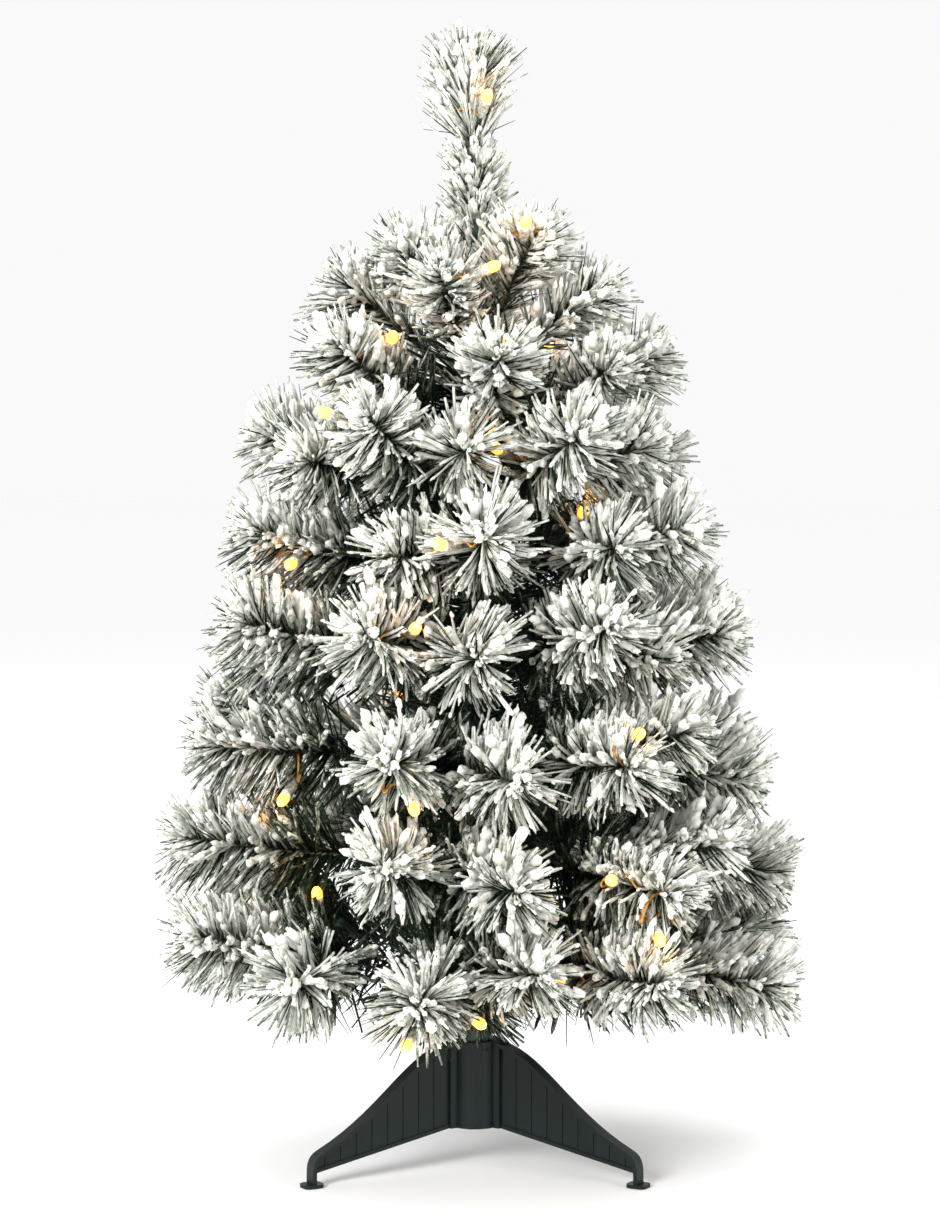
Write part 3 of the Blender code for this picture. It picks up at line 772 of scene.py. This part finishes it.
def lamp_axis(node):
    """Base point and direction of a lamp's solid: its flat end is the base."""
    verts = np.array([vert.co[:] for vert in bpy.data.objects[node].data.vertices])
    verts = verts + np.array(bpy.data.objects[node].matrix_world.translation)
    centre = 0.5 * (verts.min(0) + verts.max(0))
    axis = np.linalg.svd(verts - verts.mean(0))[2][0]
    run = (verts - centre) @ axis
    if (run > run.max() - BASE_BAND).sum() > (run < run.min() + BASE_BAND).sum():
        axis = -axis
        run = -run
    base = verts[run < run.min() + BASE_BAND].mean(0)
    return base, axis


lamps = []                  # name, base, direction, stem behind it, body, solid replaced
for node in sorted(n for n in body_of_node if n.startswith("lamp_")):
    base, axis = lamp_axis(node)
    body = body_of_node[node]
    stem = leader_stem if body == "leader" else branch_stems[body][0]
    lamps.append((node + "_lit", base, axis, stem, body, node))
for number, (body, share, roll, lean, out) in enumerate(SMALL_LAMPS):
    stem = branch_stems[body][0]
    place, along, side, upward = (values[0] for values in stem.at([share * stem.length]))
    away = upward * math.cos(math.radians(roll)) + side * math.sin(math.radians(roll))
    axis = along * math.cos(math.radians(lean)) + away * math.sin(math.radians(lean))
    lamps.append((f"small_lamp_{number + 1}", place + away * out, axis, stem, body, None))
lens_places = [(base + axis * LENS_MIDDLE, axis) for _, base, axis, _, _, _ in lamps]


def turned(name, profile, base, axis, paint, body, sides=20):
    """Profile of (radius, height) points turned round a lamp's own axis."""
    work = bmesh.new()
    corners = [work.verts.new((radius, 0.0, height)) for radius, height in profile]
    edges = [work.edges.new(pair) for pair in zip(corners, corners[1:])]
    bmesh.ops.spin(work, geom=corners + edges, cent=(0.0, 0.0, 0.0), axis=(0.0, 0.0, 1.0),
                   angle=2 * math.pi, steps=sides, use_merge=True)
    bmesh.ops.remove_doubles(work, verts=work.verts, dist=1e-6)
    bmesh.ops.recalc_face_normals(work, faces=work.faces)
    turn = Vector(axis).to_track_quat("Z", "Y").to_matrix().to_4x4()
    bmesh.ops.transform(work, matrix=Matrix.Translation(Vector(base)) @ turn, verts=work.verts)
    mesh = bpy.data.meshes.new(name)
    work.to_mesh(mesh)
    work.free()
    mesh.polygons.foreach_set("use_smooth", np.ones(len(mesh.polygons), dtype=bool))
    return placed(name, mesh, paint, body)


def lead_line(base, axis, stem, phase):
    """Loop of lead from a lamp's base to its stem."""
    nearest = stem.points[np.argmin(np.linalg.norm(stem.points - base, axis=1))]
    bend = unit(np.cross(axis, UP) + 0.001)
    share = np.linspace(0.0, 1.0, 22)[:, None]
    start = base + axis * 0.0006 + bend * 0.0008 * math.copysign(1.0, phase)
    loop = (bend * 0.0105 * phase * np.sin(share * math.pi)
            + axis * 0.0080 * np.sin(share * math.pi) ** 2)
    return start * (1.0 - share) + nearest * share + loop + UP * 0.002 * np.sin(share * 3 * math.pi)


for name, base, axis, stem, body, replaced in lamps:
    socket = turned(name + "_socket", SOCKET_PROFILE, base, axis, SOCKET, body)
    lens = turned(name + "_lens", LENS_PROFILE, base + axis * SOCKET_LENGTH, axis, LENS, body)
    wire(name + "_lead", [lead_line(base, axis, stem, 1.0), lead_line(base, axis, stem, -0.6)],
         LEAD_RADIUS, LEAD, body)
    if replaced:
        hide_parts(replaced)
        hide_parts(replaced)
    glow = bpy.data.lights.new(name + "_glow", "POINT")
    glow.energy = GLOW_POWER
    glow.color = (1.0, 0.50, 0.13)
    glow.shadow_soft_size = 0.002
    shine = bpy.data.objects.new(name + "_glow", glow)
    scene.collection.objects.link(shine)
    shine.parent = lens
    shine.matrix_world = Matrix.Translation(Vector(base + axis * GLOW_AHEAD))

# --- brushes

TONGUES_PER_METRE = 2100
NEEDLES_PER_METRE = 3400
COUNT_STEP = 20             # counts are rounded so that alike brushes share one mesh layout
BARE_SHARE = (0.14, 0.08)   # share of a main and of a side stem without needles
STEEP_SWEEP = 12.0          # needles lie this much closer to the stem on the upper branches
STEEP_FROM, STEEP_OVER = 0.38, 0.08     # height where that starts, and over which it grows


def count_of(span, per_metre):
    return int(round(span * per_metre / COUNT_STEP)) * COUNT_STEP


for node, stems in branch_stems.items():
    for number, stem in enumerate(stems):
        start = BARE_SHARE[number] * stem.length
        span = stem.length - start
        counts = (count_of(span, NEEDLES_PER_METRE), count_of(span * 0.7, TONGUES_PER_METRE))
        suffix = "brush" if number == 0 else "side_brush"
        heading_out = unit(stem.points[-1] - stem.points[0])
        steep = min(max(stem.points[-1][2] - STEEP_FROM, 0.0) / STEEP_OVER, 1.0)
        swept = FULL_SWEEP - STEEP_SWEEP * steep
        item = brush(f"{node}_{suffix}", stem, start, counts, node, reach=rng.uniform(0.93, 1.04),
                     white_from=0.30 if number == 0 else 0.15, sweeps=(TIP_SWEEP, swept),
                     chunky=rng.uniform(0.15, 0.42) + 0.22 * abs(heading_out[0]))
        if number == 0:
            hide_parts(node)
        core(f"{node}_{suffix}_wire", stem, WIRE_RADIUS, node)

leader = brush("leader_brush", leader_stem, 0.002, (420, 260), "leader", reach=1.02, shade=0.96,
               white_from=0.0, tip_reach=0.010, sweeps=(10.0, 44.0), chunky=0.22)
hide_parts("leader")
core("leader_brush_wire", leader_stem, LEADER_WIRE_RADIUS, "leader")


def upright(bottom, top):
    """Straight stem up the trunk."""
    return Stem(*(np.array([0.0, 0.0, height]) for height in (bottom, (bottom + top) / 2, top)))


# the shade values paint shade on the coat: darkest for the needles deep inside the tree, partly
# also less flock there
brush("trunk_needles", upright(0.092, 0.425), 0.0, (2600, 0), "tree", "wrap_film", reach=1.35,
      shade=0.35, tip_reach=0.05, sweeps=(60.0, 80.0))
brush("trunk_top_needles", upright(0.400, 0.531), 0.0, (700, 330), "tree", "wrap_film", reach=0.74,
      shade=0.92, white_from=0.0, tip_reach=0.03, sweeps=(38.0, 48.0))
brush("trunk_foot_needles", upright(0.125, 0.082), 0.0, (460, 30), "tree", "wrap_film", reach=1.05,
      shade=0.60, tip_reach=0.018, sweeps=(35.0, 74.0))

# --- carried-over solids

for node, paint in (("stand_leg_1", STAND), ("stand_leg_2", STAND), ("stand_leg_3", STAND),
                    ("pole", POLE), ("trunk_wrap", FILM)):
    item = bpy.data.objects[node]
    item.data.materials.clear()
    item.data.materials.append(paint)

# --- floor

FLOOR_HALF_SIZE = 30.0
FLOOR_HEIGHT = -0.0002      # just under the feet

floor_mesh = bpy.data.meshes.new("floor")
floor_work = bmesh.new()
bmesh.ops.create_grid(floor_work, x_segments=1, y_segments=1, size=FLOOR_HALF_SIZE)
floor_work.to_mesh(floor_mesh)
floor_work.free()
floor = bpy.data.objects.new("floor", floor_mesh)
floor.location = (0.0, 0.0, FLOOR_HEIGHT)
scene.collection.objects.link(floor)
floor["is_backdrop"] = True
paper, _, _, paper_shader = new_material("paper_floor")
paper_shader.inputs["Base Color"].default_value = (1.0, 1.0, 1.0, 1.0)
paper_shader.inputs["Roughness"].default_value = 0.9
floor_mesh.materials.append(paper)

low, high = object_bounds()
